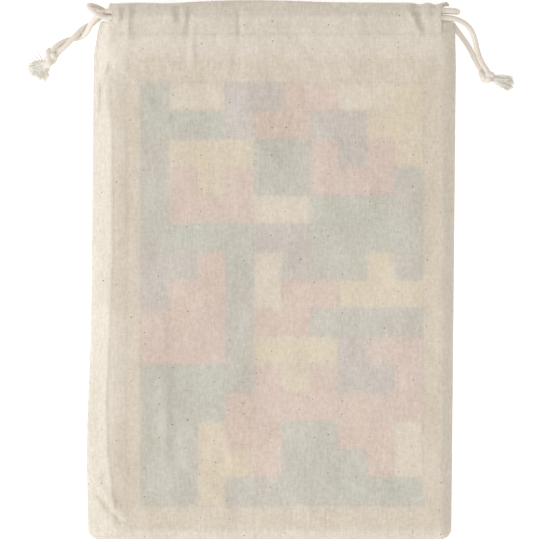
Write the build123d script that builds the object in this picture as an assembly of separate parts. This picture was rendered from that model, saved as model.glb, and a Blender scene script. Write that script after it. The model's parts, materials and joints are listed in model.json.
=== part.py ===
from build123d import *
import math
import os

os.makedirs("parts", exist_ok=True)

# A drawcord gift sack of thin cotton, lying on its back, with a wooden block puzzle inside.
# Millimetres. +X is the sack's right-hand side, +Y points out of its mouth and +Z is up. The
# origin is under the middle of the sack, on the surface that the sack lies on.
#
# The sack and the tray are drawn in the sack's own flat frame, whose XY plane is the tray's
# underside. That frame is then leaned about X, because the two cords in the back casing lift
# the mouth end a few millimetres off the surface. The free cords are drawn where they lie.

# ---- block puzzle
CELL = 16.0              # side of one square of a block
BLOCK_GAP = 0.3          # play between neighbouring blocks
BLOCK_THICKNESS = 5.5
BLOCK_EDGE = 0.4         # chamfer round each block's upper edge
FIELD_PLAY = 0.3         # play between the outer blocks and the rails
BASE_THICKNESS = 3.0     # board under the blocks
RAIL_HEIGHT = 6.0        # frame glued on that board
SIDE_RAIL = 9.0          # from the block field to the tray's long edges
END_RAIL = 14.0          # from the block field to the tray's short edges
TRAY_CORNER = 3.0        # corner radius of the board and the frame

# One letter for each block. The first line is the row nearest the sack's mouth.
LAYOUT = (
    "uaaffFFbbA",
    "uuufFFggAA",
    "kBBBppLgLA",
    "kKBKppLLLl",
    "kKKKccwwwl",
    "kvvvhhqqwl",
    "iiGvdhqqCl",
    "iGGmdHHCCC",
    "MGMmHHnnnn",
    "MMMmDDDjOO",
    "xxxmNDNjjO",
    "ssxINNNJOO",
    "ssEIIrrJJe",
    "ttEEIrryJe",
    "ttEooooyyy",
)
BLOCK_KINDS = {
    "domino": "abcde",
    "corner": "fghij",
    "bar": "klmno",
    "square": "pqrst",
    "ell": "uvwxy",
    "tee": "ABCDE",
    "zed": "FGHIJ",
    "cup": "KLMNO",
}

# ---- cloth
CLOTH = 0.5              # one layer of the cotton, with its nap
CLOTH_GAP = 0.3          # air between the cloth and the tray
LEFT_SLACK = 20.5        # from the tray to the sack's left edge at the closed end
RIGHT_SLACK = 9.7        # from the tray to the sack's right edge at the shoulder
CLOSED_SLACK = 4.7       # from the tray to the sack's closed end
MOUTH_REACH = 31.3       # from the tray to the mouth edge
EDGE_DRIFT = 2.5         # how far both side edges lean to the right, closed end to shoulder
SHOULDER = 35.0          # the sack starts to narrow this far below the mouth edge
LEFT_SHOULDER = 2.3      # narrowing at the hem stitching, on the left and on the right
RIGHT_SHOULDER = 0.4
TAB_LENGTH = 7.1         # side margins of the back panel, past the hem stitching
LEFT_TAB_IN = 2.4        # how far those margins narrow to their ends
RIGHT_TAB_IN = 1.6

# ---- hem casings
CASING_DEPTH = 17.6      # mouth edge to hem stitching
FRONT_LEFT_INSET = 11.9  # ends of the front casing, from the sack's side edges
FRONT_RIGHT_INSET = 7.9
BACK_LEFT_INSET = 20.1   # ends of the back casing
BACK_RIGHT_INSET = 7.5

# ---- sewing thread
THREAD = 0.5             # width of a row of stitches
THREAD_PROUD = 0.25      # how far a row stands off the cloth
SEAM_INSET = 2.0         # seam rows, in from the sack's edges

# ---- drawcords
CORD = 3.2               # braided cotton cord
CORD_PLAY = 0.25         # play above and below a cord in its casing
LANE_INSET = 4.7         # mouth edge to the nearer cord's middle
LANE_GAP = 0.8           # between the two cords, which lie side by side in each casing
LANE_EASE = 0.7          # past the farther cord, before the casing slopes to its stitching
KNOT_RADIUS = 3.5        # each cord's two ends are knotted together
KNOT_EASE = 2.6          # rounding of a knot's two ends
LEFT_KNOT = (-33.9, -31.3, 11.0, 80)     # x and y from the front casing's end, length, heading
RIGHT_KNOT = (26.0, -42.2, 8.6, -16)
TASSEL_NECK = 2.0        # half thickness of the frayed ends where they leave the knot
LEFT_TASSEL = (-1.6, -2.6, 10.5, 222)    # x and y from the knot's middle, length, heading
RIGHT_TASSEL = (3.0, -0.8, 12.0, -16)
LEFT_FAN = (5.2, 2.0)    # half width and half height of the fan's far end
RIGHT_FAN = (4.4, 2.2)
FLOOR_GAP = 0.05         # a knot and a tassel lie this close to the surface

# ---- worked out from those sizes
COLUMNS = len(LAYOUT[0])
ROWS = len(LAYOUT)
TRAY_WIDTH = COLUMNS * CELL + 2 * SIDE_RAIL
TRAY_LENGTH = ROWS * CELL + 2 * END_RAIL
TRAY_TOP = BASE_THICKNESS + RAIL_HEIGHT
HALF_WIDTH = (LEFT_SLACK + TRAY_WIDTH + RIGHT_SLACK) / 2
HALF_LENGTH = (CLOSED_SLACK + TRAY_LENGTH + MOUTH_REACH) / 2
TRAY_LEFT = LEFT_SLACK - HALF_WIDTH
TRAY_RIGHT = TRAY_LEFT + TRAY_WIDTH
TRAY_LOW = CLOSED_SLACK - HALF_LENGTH
TRAY_X = (TRAY_LEFT + TRAY_RIGHT) / 2
TRAY_Y = TRAY_LOW + TRAY_LENGTH / 2
HEM_Y = HALF_LENGTH - CASING_DEPTH
SHOULDER_Y = HALF_LENGTH - SHOULDER
FRONT_LEFT = FRONT_LEFT_INSET - HALF_WIDTH
FRONT_RIGHT = HALF_WIDTH - FRONT_RIGHT_INSET
BACK_LEFT = BACK_LEFT_INSET - HALF_WIDTH
BACK_RIGHT = HALF_WIDTH - BACK_RIGHT_INSET
LANE_PITCH = CORD + LANE_GAP
CASING_HEIGHT = CORD + 2 * CORD_PLAY + 2 * CLOTH
CASING_ROOF = LANE_INSET + LANE_PITCH + CORD / 2 + LANE_EASE
RIDGE_Y = HALF_LENGTH - CASING_ROOF
FRONT_FACE = TRAY_TOP + CLOTH_GAP        # inner face of the front panel
BACK_FACE = -CLOTH_GAP                   # inner face of the back panel
LANE_RISE = CASING_HEIGHT / 2            # from a panel's inner face to a cord's middle

# The sack rests on its closed end and on the ridge of its back casing.
LEAN = math.atan((CASING_HEIGHT - CLOTH) / (RIDGE_Y + HALF_LENGTH))
LIFT = HALF_LENGTH * math.sin(LEAN) + (CLOTH_GAP + CLOTH) * math.cos(LEAN)
SACK_FRAME = Pos(0, 0, LIFT) * Rot(X=math.degrees(LEAN))


def save(name, shape, leaned=True):
    """Write one sub-part, leaned with the sack unless it is drawn where it lies."""
    placed = SACK_FRAME * shape if leaned else shape
    placed.label = name
    export_step(placed, f"parts/{name}.step")


def from_sack(x, y, z):
    """A point of the sack's flat frame, where it is once the sack is leaned."""
    return (
        x,
        y * math.cos(LEAN) - z * math.sin(LEAN),
        y * math.sin(LEAN) + z * math.cos(LEAN) + LIFT,
    )


# ---------------------------------------------------------------- block puzzle


def tray_base():
    """The board under the blocks."""
    board = RectangleRounded(TRAY_WIDTH, TRAY_LENGTH, TRAY_CORNER)
    return Pos(TRAY_X, TRAY_Y, 0) * extrude(board, BASE_THICKNESS)


def tray_frame():
    """The rails round the blocks, cut from one sheet."""
    window = Rectangle(COLUMNS * CELL + 2 * FIELD_PLAY, ROWS * CELL + 2 * FIELD_PLAY)
    rails = RectangleRounded(TRAY_WIDTH, TRAY_LENGTH, TRAY_CORNER) - window
    return Pos(TRAY_X, TRAY_Y, BASE_THICKNESS) * extrude(rails, RAIL_HEIGHT)


def block(letter):
    """One block: the squares that carry its letter, with half the play off all round."""
    outline = Sketch()
    for row, line in enumerate(LAYOUT):
        for column, mark in enumerate(line):
            if mark == letter:
                x = (column + 0.5 - COLUMNS / 2) * CELL
                y = (ROWS / 2 - row - 0.5) * CELL
                outline += Pos(x, y) * Rectangle(CELL, CELL)
    outline = offset(outline, amount=-BLOCK_GAP / 2, kind=Kind.INTERSECTION)
    solid = extrude(outline, BLOCK_THICKNESS)
    top = solid.faces().sort_by(Axis.Z)[-1]
    solid = chamfer(top.edges(), BLOCK_EDGE)
    return Pos(TRAY_X, TRAY_Y, BASE_THICKNESS) * solid


# ---------------------------------------------------------------- cloth


def ring(height, left, right, low, high):
    """A closed outline at one height. left and right hold x at the closed end, at the
    shoulder and at the mouth end."""
    return Wire.make_polygon(
        [
            Vector(left[0], low, height),
            Vector(right[0], low, height),
            Vector(right[1], SHOULDER_Y, height),
            Vector(right[2], high, height),
            Vector(left[2], high, height),
            Vector(left[1], SHOULDER_Y, height),
        ]
    )


def side_edges(inset=0.0):
    """The x of the sack's two side edges at the closed end, the shoulder and the hem."""
    left_low = -HALF_WIDTH + inset
    left_mid = left_low + EDGE_DRIFT
    right_mid = HALF_WIDTH - inset
    left = (left_low, left_mid, left_mid + LEFT_SHOULDER)
    right = (right_mid - EDGE_DRIFT, right_mid, right_mid - RIGHT_SHOULDER)
    return left, right


def wall_insets(drop, runs):
    """How far in the inner face of a sloping wall lies at the wall's foot, for each run."""
    return [CLOTH * math.hypot(drop, run) / drop for run in runs]


def front_shell():
    """The front panel below its hem: it lies on the tray and slopes down all round."""
    margin = CLOTH_GAP + CLOTH
    left, right = side_edges()
    top_left = (TRAY_LEFT - margin, TRAY_LEFT - margin, FRONT_LEFT)
    top_right = (TRAY_RIGHT + margin, TRAY_RIGHT + margin, FRONT_RIGHT)
    top_low = TRAY_LOW - margin
    drop = FRONT_FACE + CLOTH - BACK_FACE
    outer = Solid.make_loft(
        [
            ring(BACK_FACE, left, right, -HALF_LENGTH, HEM_Y),
            ring(FRONT_FACE + CLOTH, top_left, top_right, top_low, HEM_Y),
        ],
        ruled=True,
    )
    left_in = wall_insets(drop, [t - b for t, b in zip(top_left, left)])
    right_in = wall_insets(drop, [b - t for t, b in zip(top_right, right)])
    low_in = wall_insets(drop, [top_low + HALF_LENGTH])[0]
    corner_in = CLOTH / 2
    past_hem = HEM_Y + CLOTH
    inner = Solid.make_loft(
        [
            ring(
                BACK_FACE,
                [x + d for x, d in zip(left, left_in)],
                [x - d for x, d in zip(right, right_in)],
                -HALF_LENGTH + low_in,
                past_hem,
            ),
            ring(
                FRONT_FACE,
                [x + corner_in for x in top_left],
                [x - corner_in for x in top_right],
                top_low + corner_in,
                past_hem,
            ),
        ],
        ruled=True,
    )
    return outer - inner


def casing(face, side, left, right):
    """A hem folded over into a casing: a flat inner layer and a rounded outer one, with
    the cords' channel between them. side is 1 on the front panel and -1 on the back."""

    def at(back, rise):
        return (HALF_LENGTH - back, face + side * rise)

    fold = CASING_HEIGHT / 2
    hem_top = at(CASING_DEPTH, 2 * CLOTH)
    outer = Polyline(at(fold, CASING_HEIGHT), at(CASING_ROOF, CASING_HEIGHT), hem_top)
    outer += Polyline(hem_top, at(CASING_DEPTH, 0), at(fold, 0))
    outer += ThreePointArc(at(fold, 0), at(0, fold), at(fold, CASING_HEIGHT))
    roof = CASING_HEIGHT - CLOTH
    channel_end = at(CASING_DEPTH - 2 * CLOTH, CLOTH)
    channel = Polyline(at(fold, roof), at(CASING_ROOF - CLOTH, roof), channel_end)
    channel += Line(channel_end, at(fold, CLOTH))
    channel += ThreePointArc(at(fold, CLOTH), at(CLOTH, fold), at(fold, roof))
    section = make_face(outer) - make_face(channel)
    return Pos(left, 0, 0) * extrude(Plane.YZ * section, right - left)


def front_panel():
    """The front of the sack, from the closed end to the fold of its hem."""
    return front_shell() + casing(FRONT_FACE, 1, FRONT_LEFT, FRONT_RIGHT)


def back_panel():
    """The back of the sack: flat under the tray, with a hem like the front's."""
    left, right = side_edges()
    flat = Polyline(
        (left[0], -HALF_LENGTH),
        (right[0], -HALF_LENGTH),
        (right[1], SHOULDER_Y),
        (right[2], HEM_Y),
        (right[2] - RIGHT_TAB_IN, HEM_Y + TAB_LENGTH),
        (BACK_RIGHT, HEM_Y + TAB_LENGTH),
        (BACK_RIGHT, HEM_Y),
        (BACK_LEFT, HEM_Y),
        (BACK_LEFT, HEM_Y + TAB_LENGTH),
        (left[2] + LEFT_TAB_IN, HEM_Y + TAB_LENGTH),
        (left[2], HEM_Y),
        (left[1], SHOULDER_Y),
        close=True,
    )
    sheet = Pos(0, 0, BACK_FACE - CLOTH) * extrude(make_face(flat), CLOTH)
    return sheet + casing(BACK_FACE, -1, BACK_LEFT, BACK_RIGHT)


# ---------------------------------------------------------------- sewing thread


def hem_stitches(face, side, left, right):
    """The row of stitches that closes a casing, just under the hem's edge."""
    row = Box(right - left - 2 * THREAD, THREAD, THREAD_PROUD)
    height = face + side * (CLOTH + THREAD_PROUD / 2)
    return Pos((left + right) / 2, HEM_Y - THREAD, height) * row


def side_seam(side):
    """The row of stitches inside one side edge. side is 0 for the left, 1 for the right."""
    low = -HALF_LENGTH + SEAM_INSET
    high = HEM_Y - CLOTH
    outer = side_edges(SEAM_INSET)[side]
    inner = side_edges(SEAM_INSET + THREAD)[side]
    row = Polyline(
        (outer[0], low),
        (outer[1], SHOULDER_Y),
        (outer[2], high),
        (inner[2], high),
        (inner[1], SHOULDER_Y),
        (inner[0], low),
        close=True,
    )
    return Pos(0, 0, BACK_FACE) * extrude(make_face(row), THREAD_PROUD)


def bottom_seam():
    """The row of stitches inside the closed end."""
    left, right = side_edges(SEAM_INSET + 2 * THREAD)
    row = Box(right[0] - left[0], THREAD, THREAD_PROUD)
    y = -HALF_LENGTH + SEAM_INSET + THREAD / 2
    return Pos((left[0] + right[0]) / 2, y, BACK_FACE + THREAD_PROUD / 2) * row


# ---------------------------------------------------------------- drawcords
# Each cord runs knot, front casing, round the far side, back casing, knot. Free points are
# given from the mouth edge at the end of the front casing on their side, and their height
# is the height above the surface. lane() gives a point on a cord's straight run.


def lane(x, rank, front):
    """A point in a casing. rank 0 is the lane nearer the mouth edge, 1 the other."""
    y = HALF_LENGTH - LANE_INSET - rank * LANE_PITCH
    z = FRONT_FACE + LANE_RISE if front else BACK_FACE - LANE_RISE
    return from_sack(x, y, z)


def beside(end, points):
    """Free points beside one end of the front casing."""
    return [(end + x, HALF_LENGTH + y, z) for x, y, z in points]


LEFT_FRONT_TAIL = (
    (-34.0, -28.6, 4.4),
    (-32.2, -25.8, 4.2),
    (-29.4, -23.5, 3.2),
    (-26.0, -21.6, 2.2),
    (-22.3, -20.4, 1.7),
    (-18.7, -19.9, 1.7),
    (-15.4, -18.9, 2.9),
    (-12.8, -16.2, 5.4),
    (-11.0, -12.4, 8.4),
    (-8.2, -8.6, 10.8),
    (-4.8, -6.0, 13.7),
)
LEFT_BACK_TAIL = (
    (-4.4, -6.2, 1.8),
    (-7.4, -9.2, 1.65),
    (-10.2, -11.6, 1.65),
    (-13.2, -13.0, 1.8),
    (-16.4, -14.9, 3.2),
    (-19.2, -17.9, 5.1),
    (-22.0, -21.0, 5.4),
    (-25.3, -24.3, 4.8),
    (-28.3, -27.0, 4.2),
    (-30.6, -29.4, 3.6),
    (-32.1, -31.8, 3.2),
)
LEFT_BIGHT = (
    (8.8, -4.8, 13.8),
    (8.8, -5.1, 5.4),
)
RIGHT_FRONT_TAIL = (
    (26.7, -40.6, 5.3),
    (25.1, -37.5, 5.0),
    (22.7, -34.0, 5.1),
    (21.0, -30.0, 5.6),
    (19.8, -25.6, 6.5),
    (18.8, -21.2, 7.8),
    (17.3, -17.0, 9.6),
    (14.8, -13.4, 11.8),
    (11.2, -10.9, 14.0),
    (7.0, -9.4, 15.8),
)
RIGHT_BACK_TAIL = (
    (5.8, -11.4, 1.9),
    (8.6, -15.4, 1.65),
    (11.5, -19.2, 1.65),
    (14.2, -22.9, 1.65),
    (16.5, -26.8, 1.65),
    (18.3, -30.8, 1.65),
    (20.3, -34.6, 1.7),
    (22.4, -38.0, 2.4),
    (23.7, -41.0, 2.9),
)
RIGHT_BIGHT = (
    (-7.7, -8.1, 19.4),
    (-9.1, -6.4, 22.0),
    (-10.3, -3.9, 23.1),
    (-11.2, -1.7, 22.2),
    (-11.8, -0.8, 19.4),
    (-11.0, -1.2, 15.6),
    (-8.9, -2.6, 12.2),
    (-5.5, -4.6, 9.0),
    (-1.3, -7.4, 5.4),
)


def left_route():
    """The cord whose knot lies on the left."""
    return [
        *beside(FRONT_LEFT, LEFT_FRONT_TAIL),
        lane(FRONT_LEFT - 1.0, 0, True),
        lane(FRONT_RIGHT + 6.0, 0, True),
        *beside(FRONT_RIGHT, LEFT_BIGHT),
        lane(FRONT_RIGHT + 6.0, 0, False),
        lane(FRONT_LEFT - 0.4, 0, False),
        *beside(FRONT_LEFT, LEFT_BACK_TAIL),
    ]


def right_route():
    """The cord whose knot lies on the right."""
    return [
        *beside(FRONT_RIGHT, RIGHT_FRONT_TAIL),
        lane(FRONT_RIGHT + 2.6, 1, True),
        lane(FRONT_LEFT - 5.4, 1, True),
        *beside(FRONT_LEFT, RIGHT_BIGHT),
        lane(FRONT_LEFT + 2.6, 1, False),
        lane(FRONT_RIGHT + 2.4, 1, False),
        *beside(FRONT_RIGHT, RIGHT_BACK_TAIL),
    ]


def cord(route):
    """A round cord: straight runs joined by arcs as large as the runs allow."""
    points = [Vector(*p) for p in route]
    radii = []
    for before, here, after in zip(points, points[1:], points[2:]):
        turn = math.radians((here - before).get_angle(after - here))
        shorter = min((here - before).length, (after - here).length)
        radii.append(0.45 * shorter / math.tan(turn / 2))
    path = FilletPolyline(*points, radius=radii)
    tube = sweep(Plane(origin=path @ 0, z_dir=path % 0) * Circle(CORD / 2), path=path)
    ideal = math.pi * CORD**2 / 4 * path.length
    print("cord length", round(path.length, 1), "volume share", round(tube.volume / ideal, 4))
    print("  arc radii", [round(r, 1) for r in radii])
    return tube


def knot(end, place):
    """An overhand knot lying on the surface beside the front casing's end at x = end."""
    x, y, length, heading = place
    body = Rot(Y=90) * Cylinder(KNOT_RADIUS, length)
    body = fillet(body.edges().filter_by(GeomType.CIRCLE), KNOT_EASE)
    middle = Pos(end + x, HALF_LENGTH + y, KNOT_RADIUS + FLOOR_GAP)
    return middle * Rot(Z=heading) * body


def tassel(end, knot_place, place, fan_size):
    """The frayed ends past a knot: a fan that widens and flattens along its heading."""
    x, y, length, heading = place
    neck_height = KNOT_RADIUS + FLOOR_GAP
    fan_height = fan_size[1] + FLOOR_GAP
    neck = Plane(origin=(0, 0, neck_height), x_dir=(0, 1, 0), z_dir=(1, 0, 0))
    tip = Plane(origin=(length, 0, fan_height), x_dir=(0, 1, 0), z_dir=(1, 0, 0))
    fan = loft([neck * Circle(TASSEL_NECK), tip * Ellipse(*fan_size)])
    start = Pos(end + knot_place[0] + x, HALF_LENGTH + knot_place[1] + y, 0)
    return start * Rot(Z=heading) * fan


# ---------------------------------------------------------------- write every piece

save("front_panel", front_panel())
save("back_panel", back_panel())
save("hem_stitches_front", hem_stitches(FRONT_FACE, 1, FRONT_LEFT, FRONT_RIGHT))
save("hem_stitches_back", hem_stitches(BACK_FACE, -1, BACK_LEFT, BACK_RIGHT))
save("side_seam_left", side_seam(0))
save("side_seam_right", side_seam(1))
save("bottom_seam", bottom_seam())

save("tray_base", tray_base())
save("tray_frame", tray_frame())
for kind, letters in BLOCK_KINDS.items():
    for number, letter in enumerate(letters, start=1):
        save(f"block_{kind}_{number}", block(letter))

left_fan = tassel(FRONT_LEFT, LEFT_KNOT, LEFT_TASSEL, LEFT_FAN)
save("drawcord_left", cord(left_route()), leaned=False)
save("knot_left", knot(FRONT_LEFT, LEFT_KNOT), leaned=False)
save("tassel_left", left_fan, leaned=False)

right_fan = tassel(FRONT_RIGHT, RIGHT_KNOT, RIGHT_TASSEL, RIGHT_FAN)
save("drawcord_right", cord(right_route()), leaned=False)
save("knot_right", knot(FRONT_RIGHT, RIGHT_KNOT), leaned=False)
save("tassel_right", right_fan, leaned=False)
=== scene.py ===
"""The looks of a drawcord gift sack of thin cotton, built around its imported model.

The sack's cloth, threads, cords, knots and tassels are meshes made here, in the places that
their CAD solids hold. The puzzle tray inside keeps its CAD nodes and gets wood and paint.
Lengths in this file are millimetres until a mesh is made, which is in metres.
"""

import json
import logging
import math
from collections.abc import Callable, Sequence
from dataclasses import dataclass, field
from enum import Enum

import bpy
import numpy as np
from bpy.types import Material, Node, NodeSocket, Object
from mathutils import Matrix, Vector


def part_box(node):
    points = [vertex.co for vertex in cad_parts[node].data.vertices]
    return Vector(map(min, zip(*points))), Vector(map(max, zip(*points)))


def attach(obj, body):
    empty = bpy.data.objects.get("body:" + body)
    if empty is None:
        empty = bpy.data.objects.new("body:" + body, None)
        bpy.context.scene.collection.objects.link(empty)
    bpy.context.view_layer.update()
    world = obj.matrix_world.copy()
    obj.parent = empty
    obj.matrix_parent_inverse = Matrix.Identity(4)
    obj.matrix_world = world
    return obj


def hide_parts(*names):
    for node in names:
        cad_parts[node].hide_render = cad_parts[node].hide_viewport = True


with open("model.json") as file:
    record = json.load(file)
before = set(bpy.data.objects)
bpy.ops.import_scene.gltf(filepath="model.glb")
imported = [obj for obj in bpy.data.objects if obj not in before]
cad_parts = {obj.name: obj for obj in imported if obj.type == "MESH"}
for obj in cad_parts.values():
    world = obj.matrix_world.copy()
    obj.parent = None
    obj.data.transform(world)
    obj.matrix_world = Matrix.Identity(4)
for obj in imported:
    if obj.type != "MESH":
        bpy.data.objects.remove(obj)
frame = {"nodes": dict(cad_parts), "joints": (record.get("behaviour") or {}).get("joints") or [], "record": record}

LOG = logging.getLogger("gift_sack")
MM = 0.001
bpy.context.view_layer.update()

Colour = tuple[float, float, float]
Point = tuple[float, float, float]
Face = tuple[int, ...]


class Body(Enum):
    """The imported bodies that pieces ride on."""

    SACK = "sack"
    TRAY = "puzzle_tray"
    LEFT_CORD = "left_drawcord"
    RIGHT_CORD = "right_drawcord"


class Side(Enum):
    """Which way a panel's outer face looks."""

    FRONT = 1
    BACK = -1


# ---------- node trees


class Graph:
    """A material's node tree, with short calls for the nodes that the finishes share."""

    def __init__(self, name: str) -> None:
        """Start an empty tree.

        Args:
            name: the material's name.
        """
        self.material = bpy.data.materials.new(name)
        self.material.use_nodes = True
        self.tree = self.material.node_tree
        self.tree.nodes.clear()
        self.output = self.node("ShaderNodeOutputMaterial")
        self.place = self.node("ShaderNodeTexCoord").outputs["Object"]

    def node(self, kind: str, inputs: dict | None = None, **settings: object) -> Node:
        """Add one node.

        Args:
            kind: the node's type.
            inputs: values or sockets, by input name or number.
            settings: the node's own properties.

        Returns:
            The new node.
        """
        made = self.tree.nodes.new(kind)
        for key, value in settings.items():
            setattr(made, key, value)
        for key, value in (inputs or {}).items():
            if isinstance(value, NodeSocket):
                self.tree.links.new(value, made.inputs[key])
            else:
                made.inputs[key].default_value = value
        return made

    def math(self, operation: str, *values: float | NodeSocket) -> NodeSocket:
        """One Math node.

        Args:
            operation: the node's operation.
            values: its inputs, in order.

        Returns:
            The result's socket.
        """
        made = self.node("ShaderNodeMath", dict(enumerate(values)), operation=operation)
        return made.outputs[0]

    def spread(self, value: NodeSocket, low: float, high: float) -> NodeSocket:
        """value carried from the range low..high to 0..1, and kept inside it."""
        made = self.node(
            "ShaderNodeMapRange", {"Value": value, "From Min": low, "From Max": high}
        )
        return made.outputs["Result"]

    def scaled(self, scale: Point, vector: NodeSocket | None = None) -> NodeSocket:
        """The object's own coordinates, or a vector, scaled along X, Y and Z."""
        made = self.node("ShaderNodeMapping", {"Vector": vector or self.place, "Scale": scale})
        return made.outputs["Vector"]

    def axes(self, vector: NodeSocket) -> list[NodeSocket]:
        """A vector's X, Y and Z."""
        return list(self.node("ShaderNodeSeparateXYZ", {0: vector}).outputs)

    def noise(self, vector: NodeSocket, scale: float = 1.0, detail: float = 2.0) -> NodeSocket:
        """Fractal noise of a vector, from about 0.25 to 0.75."""
        made = self.node(
            "ShaderNodeTexNoise", {"Vector": vector, "Scale": scale, "Detail": detail}
        )
        return made.outputs[0]

    def mix(self, share: NodeSocket | float, low: object, high: object) -> NodeSocket:
        """Two colours mixed.

        Args:
            share: 0 for low, 1 for high.
            low: a colour or a socket.
            high: a colour or a socket.

        Returns:
            The mixed colour's socket.
        """
        pair = [c if isinstance(c, NodeSocket) else (*c, 1.0) for c in (low, high)]
        made = self.node(
            "ShaderNodeMix", {0: share, 6: pair[0], 7: pair[1]}, data_type="RGBA"
        )
        return made.outputs[2]

    def bump(self, height: NodeSocket, distance: float, strength: float = 1.0) -> NodeSocket:
        """A normal bent by a height that is distance metres from 0 to 1."""
        made = self.node(
            "ShaderNodeBump", {"Height": height, "Distance": distance, "Strength": strength}
        )
        return made.outputs["Normal"]

    def blend(self, share: NodeSocket | float, low: Node, high: Node) -> Node:
        """Two shaders mixed: low alone at a share of 0, high alone at 1."""
        return self.node("ShaderNodeMixShader", {0: share, 1: low.outputs[0], 2: high.outputs[0]})

    def principled(self, colour: NodeSocket, rough: float | NodeSocket, more: dict) -> Node:
        """A Principled shader of a colour, a roughness and more inputs by name."""
        inputs = {"Base Color": colour, "Roughness": rough, **more}
        return self.node("ShaderNodeBsdfPrincipled", inputs)

    def finish(self, shader: Node) -> Material:
        """Show a shader, and return the finished material."""
        self.tree.links.new(shader.outputs[0], self.output.inputs["Surface"])
        return self.material


# ---------- finishes


@dataclass(frozen=True)
class CottonCloth:
    """Thin unbleached plain-weave cotton: slubs, seed flecks, and a little see-through."""

    light: Colour = (0.885, 0.860, 0.808)
    dark: Colour = (0.664, 0.618, 0.543)
    husk: Colour = (0.520, 0.430, 0.320)
    fleck: Colour = (0.230, 0.160, 0.105)
    pitch: float = 0.45 * MM        # one thread to the next
    open_share: float = 0.36        # light that goes straight through one face of the cloth
    glow: float = 0.22              # light that comes through scattered

    def build(self, name: str) -> Material:
        """Make the material.

        Args:
            name: its name.

        Returns:
            The material.
        """
        g = Graph(name)
        warp = g.noise(g.scaled((1900.0, 230.0, 230.0)), detail=2.5)
        weft = g.noise(g.scaled((230.0, 2000.0, 230.0)), detail=2.5)
        slubs = g.noise(g.scaled((620.0, 70.0, 90.0)), detail=1.0)
        mottle = g.noise(g.scaled((520.0, 430.0, 430.0)), detail=3.0)
        blotch = g.noise(g.scaled((46.0, 30.0, 34.0)), detail=3.0)
        tone = g.math("MULTIPLY_ADD", warp, 0.34, g.math("MULTIPLY", weft, 0.26))
        tone = g.math("MULTIPLY_ADD", slubs, 0.12, tone)
        tone = g.math("MULTIPLY_ADD", mottle, 0.36, tone)
        tone = g.math("MULTIPLY_ADD", blotch, 0.34, tone)
        colour = g.mix(g.spread(tone, 0.45, 0.96), self.dark, self.light)
        colour = g.mix(self.specks(g, 3.1 * MM, 0.55, 0.045), colour, self.husk)
        colour = g.mix(self.specks(g, 8.0 * MM, 0.50, 0.026), colour, self.fleck)
        turn = math.tau / self.pitch
        threads = [g.math("SINE", g.math("MULTIPLY", axis, turn)) for axis in g.axes(g.place)[:2]]
        weave = g.math("MULTIPLY", *threads)
        height = g.math("MULTIPLY_ADD", weave, 0.16, g.math("ADD", warp, weft))
        height = g.math("MULTIPLY_ADD", slubs, 0.8, height)
        normal = g.bump(height, 0.10 * MM, 0.8)
        cloth = g.principled(colour, 0.92, {"Sheen Weight": 0.12, "Normal": normal})
        through = g.node("ShaderNodeBsdfTranslucent", {"Color": colour, "Normal": normal})
        thick = g.blend(self.glow, cloth, through)
        gaps = g.math("MULTIPLY_ADD", g.spread(tone, 1.05, 0.35), 0.16, self.open_share)
        clear = g.node("ShaderNodeBsdfTransparent", {"Color": (1.0, 0.99, 0.975, 1.0)})
        return g.finish(g.blend(gaps, thick, clear))

    def specks(self, g: Graph, cell: float, rarity: float, size: float) -> NodeSocket:
        """Seed flecks, one at most in each cell.

        Args:
            g: the tree.
            cell: a cell's size in metres.
            rarity: the share of cells with none.
            size: the largest fleck's radius, as a share of the cell.

        Returns:
            A socket that is 1 on a fleck.
        """
        cells = g.node(
            "ShaderNodeTexVoronoi",
            {"Vector": g.place, "Scale": 1.0 / cell},
            voronoi_dimensions="2D",
        )
        pick = g.node("ShaderNodeSeparateColor", {0: cells.outputs["Color"]})
        radius = g.math("MULTIPLY", g.spread(pick.outputs[0], rarity, 1.0), size * 2.0)
        inside = g.math("SUBTRACT", radius, cells.outputs["Distance"])
        return g.spread(inside, 0.0, size * 0.6)


@dataclass(frozen=True)
class CottonYarn:
    """Braided, twisted or frayed cotton, with painted shade between its strands."""

    light: Colour = (0.715, 0.675, 0.618)
    dark: Colour = (0.515, 0.432, 0.350)
    grain: float = 0.35 * MM
    relief: float = 0.06 * MM

    def build(self, name: str) -> Material:
        """Make the material.

        Args:
            name: its name.

        Returns:
            The material.
        """
        g = Graph(name)
        # painted shade: darker where a point lies deep between a cord's strands; in a tassel this holds each
        # fibre's own tone
        deep = g.node("ShaderNodeAttribute", attribute_name="crevice").outputs["Fac"]
        fine = g.noise(g.place, 1.0 / self.grain, 3.0)
        broad = g.noise(g.place, 110.0, 2.0)
        shade = g.math("MULTIPLY_ADD", deep, 0.30, g.math("MULTIPLY", fine, 0.30))
        shade = g.math("MULTIPLY_ADD", broad, 0.30, shade)
        colour = g.mix(g.spread(shade, 0.22, 1.20), self.light, self.dark)
        soft = {"Sheen Weight": 0.25, "Subsurface Weight": 0.15, "Subsurface Scale": 0.8 * MM}
        return g.finish(g.principled(colour, 0.88, {**soft, "Normal": g.bump(fine, self.relief)}))


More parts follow.
